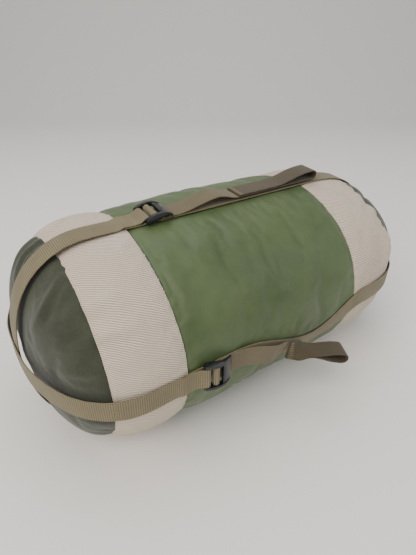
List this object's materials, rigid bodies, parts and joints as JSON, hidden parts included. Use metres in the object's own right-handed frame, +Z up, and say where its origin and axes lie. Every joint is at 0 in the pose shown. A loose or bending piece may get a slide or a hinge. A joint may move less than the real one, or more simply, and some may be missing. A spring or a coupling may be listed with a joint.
{
  "type": "compression sack",
  "caption": "Stuffed cylindrical compression sack with a lift-off strapped lid, ladder-lock buckles and webbing pull loops.",
  "frame": {"origin": "on the ground under the middle of the sack, at the bottom centre of its bounding box", "axes": "+X along the sack from the lid towards the sewn base, +Z up, -Y is the front with the side strap"},
  "size_m": [0.5354, 0.3812, 0.2579],
  "materials": {
    "coated_nylon": "satin",
    "taupe_oxford": "matte",
    "cap_cloth": "matte",
    "webbing": "matte",
    "dark_webbing": "matte",
    "black_acetal": "satin",
    "seam_tape": "matte",
    "filling": "matte"
  },
  "bodies": {
    "root": {"packed_contents": "filling", "body_tube": "coated_nylon", "neck_hem": "coated_nylon", "base_band": "taupe_oxford", "base_cap": "cap_cloth", "base_seam_binding": "seam_tape", "base_cap_binding": "seam_tape", "base_strap_upright": "webbing", "base_strap_level": "webbing"},
    "lid": {"lid_skirt": "taupe_oxford", "lid_cap": "cap_cloth", "lid_cap_binding": "seam_tape", "lid_hem_tape": "seam_tape", "lid_strap_upright": "webbing", "lid_strap_level": "webbing"},
    "buckle_top": {"buckle_top": "black_acetal", "threaded_webbing_top": "webbing"},
    "tail_top": {"tail_top": "dark_webbing"},
    "pull_loop_top": {"pull_loop_top": "dark_webbing"},
    "buckle_front": {"buckle_front": "black_acetal", "threaded_webbing_front": "webbing"},
    "tail_front": {"tail_front": "dark_webbing"},
    "pull_loop_front": {"pull_loop_front": "dark_webbing"},
    "buckle_back": {"buckle_back": "black_acetal", "threaded_webbing_back": "webbing"},
    "tail_back": {"tail_back": "dark_webbing"},
    "pull_loop_back": {"pull_loop_back": "dark_webbing"},
    "buckle_bottom": {"buckle_bottom": "black_acetal", "threaded_webbing_bottom": "webbing"},
    "tail_bottom": {"tail_bottom": "dark_webbing"},
    "pull_loop_bottom": {"pull_loop_bottom": "dark_webbing"}
  },
  "joints": [
    {"name": "lid_slide", "type": "slide", "parent": "root", "child": "lid", "axis": [-1, 0, 0], "range_m": [0, 0.12]},
    {"name": "buckle_tilt_top", "type": "hinge", "parent": "lid", "child": "buckle_top", "pos_m": [-0.1115, -0.0176, 0.24485], "axis": [0, -0.9942, -0.1077], "range_deg": [0, 35]},
    {"name": "tail_lift_top", "type": "hinge", "parent": "buckle_top", "child": "tail_top", "pos_m": [-0.0829, -0.01745, 0.24351], "axis": [0, -0.9942, -0.1077], "range_deg": [0, 70]},
    {"name": "pull_loop_swing_top", "type": "hinge", "parent": "tail_top", "child": "pull_loop_top", "pos_m": [0.01164, -0.0177, 0.24573], "axis": [0, -0.9942, -0.1077], "range_deg": [0, 60]},
    {"name": "buckle_tilt_front", "type": "hinge", "parent": "lid", "child": "buckle_front", "pos_m": [-0.1165, -0.14491, 0.11279], "axis": [0, 0.0396, -0.9992], "range_deg": [0, 35]},
    {"name": "tail_lift_front", "type": "hinge", "parent": "buckle_front", "child": "tail_front", "pos_m": [-0.0879, -0.14356, 0.11285], "axis": [0, 0.0396, -0.9992], "range_deg": [0, 70]},
    {"name": "pull_loop_swing_front", "type": "hinge", "parent": "tail_front", "child": "pull_loop_front", "pos_m": [-0.0044, -0.14241, 0.09134], "axis": [-0.4027, 0.2032, -0.8925], "range_deg": [0, 60]},
    {"name": "buckle_tilt_back", "type": "hinge", "parent": "lid", "child": "buckle_back", "pos_m": [-0.1165, 0.14491, 0.11279], "axis": [0, 0.0396, 0.9992], "range_deg": [0, 35]},
    {"name": "tail_lift_back", "type": "hinge", "parent": "buckle_back", "child": "tail_back", "pos_m": [-0.0879, 0.14356, 0.11285], "axis": [0, 0.0396, 0.9992], "range_deg": [0, 70]},
    {"name": "pull_loop_swing_back", "type": "hinge", "parent": "tail_back", "child": "pull_loop_back", "pos_m": [-0.0044, 0.14241, 0.09134], "axis": [0.4027, 0.2032, 0.8925], "range_deg": [0, 60]},
    {"name": "buckle_tilt_bottom", "type": "hinge", "parent": "lid", "child": "buckle_bottom", "pos_m": [-0.1035, 0, 0.0082], "axis": [0, 1, 0], "range_deg": [0, 35]},
    {"name": "tail_lift_bottom", "type": "hinge", "parent": "buckle_bottom", "child": "tail_bottom", "pos_m": [-0.0749, 0, 0.00955], "axis": [0, 1, 0], "range_deg": [0, 70]},
    {"name": "pull_loop_swing_bottom", "type": "hinge", "parent": "tail_bottom", "child": "pull_loop_bottom", "pos_m": [0.0115, 0, 0.00215], "axis": [0, 1, 0], "range_deg": [0, 60]}
  ]
}
